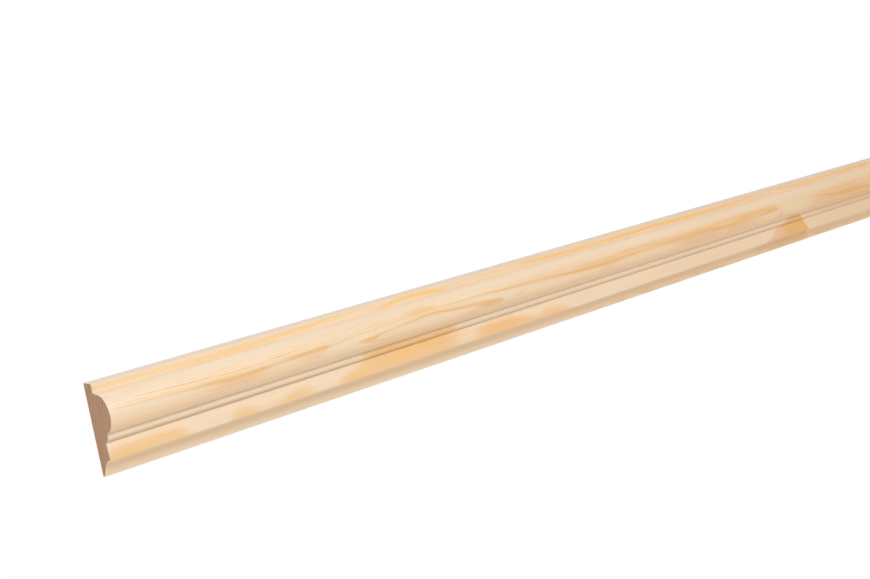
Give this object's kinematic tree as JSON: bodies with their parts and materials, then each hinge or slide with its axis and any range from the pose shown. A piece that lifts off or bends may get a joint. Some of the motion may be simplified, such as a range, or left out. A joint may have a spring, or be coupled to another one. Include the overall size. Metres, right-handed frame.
{
  "type": "wall moulding",
  "caption": "Straight length of planed pine wall moulding with a flat back, a square lip, a half-round, a small bead, a flat band and a cove, cut square at both ends.",
  "frame": {"origin": "centre of the flat back face, halfway along the length, on the floor that the piece lies on", "axes": "+X along the length, +Y across the width towards the lipped top edge, +Z out of the flat back towards the moulded face"},
  "size_m": [2.4, 0.043, 0.021],
  "materials": {
    "pine": "matte"
  },
  "bodies": {
    "root": {"moulding": "pine"}
  },
  "joints": []
}
